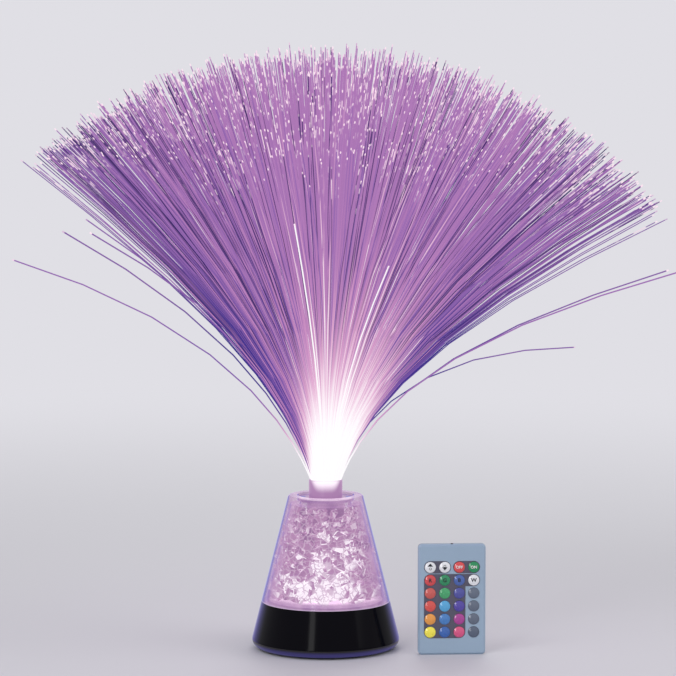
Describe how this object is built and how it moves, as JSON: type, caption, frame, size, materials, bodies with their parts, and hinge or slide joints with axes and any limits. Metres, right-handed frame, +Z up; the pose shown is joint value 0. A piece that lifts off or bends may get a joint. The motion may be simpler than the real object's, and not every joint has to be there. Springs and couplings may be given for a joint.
{
  "type": "fiber optic lamp",
  "caption": "Table lamp: a black base with a clear cone of lit crystal chips, and a plug-in head of plastic fibres that fan out over it. A small key remote stands beside it.",
  "frame": {"origin": "on the lamp's axis, at the surface that the foot ring stands on", "axes": "+Z up along the lamp's axis, front towards -Y, +X to the right, where the remote stands and the loose fibres reach widest"},
  "size_m": [0.5161, 0.4361, 0.4698],
  "materials": {
    "foot_rubber": "matt",
    "black_gloss_plastic": "polished, deep black",
    "black_matte_plastic": "satin",
    "cell_sleeve": "printed sleeve left plain",
    "plated_contacts": "nickel plated",
    "green_circuit_board": "solder mask",
    "white_circuit_board": "white solder mask",
    "brown_circuit_board": "bare laminate",
    "dark_ir_plastic": "dark, clear to infrared",
    "light_source": "silicone lens",
    "reflector_coating": "bright coating",
    "screw_steel": "zinc plated",
    "frosted_clear_plastic": "frosted",
    "clear_cone_plastic": "clear, moulded",
    "crystal_chips": "broken facets, lit from below",
    "ferrule_plastic": "milky, lit from inside",
    "fibre_plastic": "clear drawn fibre, lit along its length",
    "remote_face_plastic": "fine satin",
    "remote_dark_panel": "printed panel",
    "key_mat_rubber": "matt",
    "coin_cell_steel": "bright",
    "key_white": "domed, glossy",
    "key_red": "domed, glossy",
    "key_green": "domed, glossy",
    "key_light_green": "domed, glossy",
    "key_blue": "domed, glossy",
    "key_violet": "domed, glossy",
    "key_sky": "domed, glossy",
    "key_orange": "domed, glossy",
    "key_magenta": "domed, glossy",
    "key_yellow": "domed, glossy",
    "key_pink": "domed, glossy",
    "key_grey": "domed, glossy"
  },
  "bodies": {
    "root": {"foot_ring": "foot_rubber", "bottom_cover": "black_gloss_plastic", "battery_1": "cell_sleeve", "battery_2": "cell_sleeve", "battery_3": "cell_sleeve", "battery_contacts": "plated_contacts", "control_board": "green_circuit_board", "ir_receiver": "dark_ir_plastic", "usb_port": "plated_contacts", "switch_body": "dark_ir_plastic", "led_header": "dark_ir_plastic", "led_board": "white_circuit_board", "led_emitter": "light_source", "reflector_cup": "reflector_coating", "base_shell": "black_gloss_plastic", "cover_screws": "screw_steel", "deck_diffuser": "frosted_clear_plastic", "crystal_shell": "clear_cone_plastic", "crystal_chips": "crystal_chips", "light_tube": "clear_cone_plastic", "top_plate": "frosted_clear_plastic", "remote_front": "remote_face_plastic", "remote_back": "remote_face_plastic", "remote_label": "remote_dark_panel", "remote_board": "brown_circuit_board", "remote_ir_led": "dark_ir_plastic", "remote_key_mat": "key_mat_rubber"},
    "power_switch": {"switch_knob": "black_matte_plastic"},
    "battery_door": {"battery_door": "black_gloss_plastic"},
    "fibre_head": {"fibre_ferrule": "ferrule_plastic", "fibre_bundle": "fibre_plastic", "fibre_spray": "fibre_plastic"},
    "coin_tray": {"remote_tray": "remote_face_plastic", "coin_cell": "coin_cell_steel"},
    "key_r1c1": {"key_r1c1": "key_white"},
    "key_r1c2": {"key_r1c2": "key_white"},
    "key_r1c3": {"key_r1c3": "key_red"},
    "key_r1c4": {"key_r1c4": "key_green"},
    "key_r2c1": {"key_r2c1": "key_red"},
    "key_r2c2": {"key_r2c2": "key_green"},
    "key_r2c3": {"key_r2c3": "key_blue"},
    "key_r2c4": {"key_r2c4": "key_white"},
    "key_r3c1": {"key_r3c1": "key_red"},
    "key_r3c2": {"key_r3c2": "key_light_green"},
    "key_r3c3": {"key_r3c3": "key_violet"},
    "key_r3c4": {"key_r3c4": "key_grey"},
    "key_r4c1": {"key_r4c1": "key_red"},
    "key_r4c2": {"key_r4c2": "key_sky"},
    "key_r4c3": {"key_r4c3": "key_violet"},
    "key_r4c4": {"key_r4c4": "key_grey"},
    "key_r5c1": {"key_r5c1": "key_orange"},
    "key_r5c2": {"key_r5c2": "key_blue"},
    "key_r5c3": {"key_r5c3": "key_magenta"},
    "key_r5c4": {"key_r5c4": "key_grey"},
    "key_r6c1": {"key_r6c1": "key_yellow"},
    "key_r6c2": {"key_r6c2": "key_blue"},
    "key_r6c3": {"key_r6c3": "key_pink"},
    "key_r6c4": {"key_r6c4": "key_grey"}
  },
  "joints": [
    {"name": "switch_slide", "type": "slide", "parent": "root", "child": "power_switch", "axis": [1, 0, 0], "range_m": [-0.003, 0]},
    {"name": "battery_door_hinge", "type": "hinge", "parent": "root", "child": "battery_door", "pos_m": [0, -0.0275, 0.0022], "axis": [-1, 0, 0], "range_deg": [0, 80]},
    {"name": "fibre_head_lift", "type": "slide", "parent": "root", "child": "fibre_head", "axis": [0, 0, 1], "range_m": [0, 0.03]},
    {"name": "coin_tray_slide", "type": "slide", "parent": "root", "child": "coin_tray", "axis": [0, 0, -1], "range_m": [0, 0.022]},
    {"name": "key_r1c1_press", "type": "slide", "parent": "root", "child": "key_r1c1", "axis": [-0.0523, 0.9986, 0], "range_m": [0, 0.0005], "stiffness_N_per_m": 400},
    {"name": "key_r1c2_press", "type": "slide", "parent": "root", "child": "key_r1c2", "axis": [-0.0523, 0.9986, 0], "range_m": [0, 0.0005], "stiffness_N_per_m": 400},
    {"name": "key_r1c3_press", "type": "slide", "parent": "root", "child": "key_r1c3", "axis": [-0.0523, 0.9986, 0], "range_m": [0, 0.0005], "stiffness_N_per_m": 400},
    {"name": "key_r1c4_press", "type": "slide", "parent": "root", "child": "key_r1c4", "axis": [-0.0523, 0.9986, 0], "range_m": [0, 0.0005], "stiffness_N_per_m": 400},
    {"name": "key_r2c1_press", "type": "slide", "parent": "root", "child": "key_r2c1", "axis": [-0.0523, 0.9986, 0], "range_m": [0, 0.0005], "stiffness_N_per_m": 400},
    {"name": "key_r2c2_press", "type": "slide", "parent": "root", "child": "key_r2c2", "axis": [-0.0523, 0.9986, 0], "range_m": [0, 0.0005], "stiffness_N_per_m": 400},
    {"name": "key_r2c3_press", "type": "slide", "parent": "root", "child": "key_r2c3", "axis": [-0.0523, 0.9986, 0], "range_m": [0, 0.0005], "stiffness_N_per_m": 400},
    {"name": "key_r2c4_press", "type": "slide", "parent": "root", "child": "key_r2c4", "axis": [-0.0523, 0.9986, 0], "range_m": [0, 0.0005], "stiffness_N_per_m": 400},
    {"name": "key_r3c1_press", "type": "slide", "parent": "root", "child": "key_r3c1", "axis": [-0.0523, 0.9986, 0], "range_m": [0, 0.0005], "stiffness_N_per_m": 400},
    {"name": "key_r3c2_press", "type": "slide", "parent": "root", "child": "key_r3c2", "axis": [-0.0523, 0.9986, 0], "range_m": [0, 0.0005], "stiffness_N_per_m": 400},
    {"name": "key_r3c3_press", "type": "slide", "parent": "root", "child": "key_r3c3", "axis": [-0.0523, 0.9986, 0], "range_m": [0, 0.0005], "stiffness_N_per_m": 400},
    {"name": "key_r3c4_press", "type": "slide", "parent": "root", "child": "key_r3c4", "axis": [-0.0523, 0.9986, 0], "range_m": [0, 0.0005], "stiffness_N_per_m": 400},
    {"name": "key_r4c1_press", "type": "slide", "parent": "root", "child": "key_r4c1", "axis": [-0.0523, 0.9986, 0], "range_m": [0, 0.0005], "stiffness_N_per_m": 400},
    {"name": "key_r4c2_press", "type": "slide", "parent": "root", "child": "key_r4c2", "axis": [-0.0523, 0.9986, 0], "range_m": [0, 0.0005], "stiffness_N_per_m": 400},
    {"name": "key_r4c3_press", "type": "slide", "parent": "root", "child": "key_r4c3", "axis": [-0.0523, 0.9986, 0], "range_m": [0, 0.0005], "stiffness_N_per_m": 400},
    {"name": "key_r4c4_press", "type": "slide", "parent": "root", "child": "key_r4c4", "axis": [-0.0523, 0.9986, 0], "range_m": [0, 0.0005], "stiffness_N_per_m": 400},
    {"name": "key_r5c1_press", "type": "slide", "parent": "root", "child": "key_r5c1", "axis": [-0.0523, 0.9986, 0], "range_m": [0, 0.0005], "stiffness_N_per_m": 400},
    {"name": "key_r5c2_press", "type": "slide", "parent": "root", "child": "key_r5c2", "axis": [-0.0523, 0.9986, 0], "range_m": [0, 0.0005], "stiffness_N_per_m": 400},
    {"name": "key_r5c3_press", "type": "slide", "parent": "root", "child": "key_r5c3", "axis": [-0.0523, 0.9986, 0], "range_m": [0, 0.0005], "stiffness_N_per_m": 400},
    {"name": "key_r5c4_press", "type": "slide", "parent": "root", "child": "key_r5c4", "axis": [-0.0523, 0.9986, 0], "range_m": [0, 0.0005], "stiffness_N_per_m": 400},
    {"name": "key_r6c1_press", "type": "slide", "parent": "root", "child": "key_r6c1", "axis": [-0.0523, 0.9986, 0], "range_m": [0, 0.0005], "stiffness_N_per_m": 400},
    {"name": "key_r6c2_press", "type": "slide", "parent": "root", "child": "key_r6c2", "axis": [-0.0523, 0.9986, 0], "range_m": [0, 0.0005], "stiffness_N_per_m": 400},
    {"name": "key_r6c3_press", "type": "slide", "parent": "root", "child": "key_r6c3", "axis": [-0.0523, 0.9986, 0], "range_m": [0, 0.0005], "stiffness_N_per_m": 400},
    {"name": "key_r6c4_press", "type": "slide", "parent": "root", "child": "key_r6c4", "axis": [-0.0523, 0.9986, 0], "range_m": [0, 0.0005], "stiffness_N_per_m": 400}
  ]
}
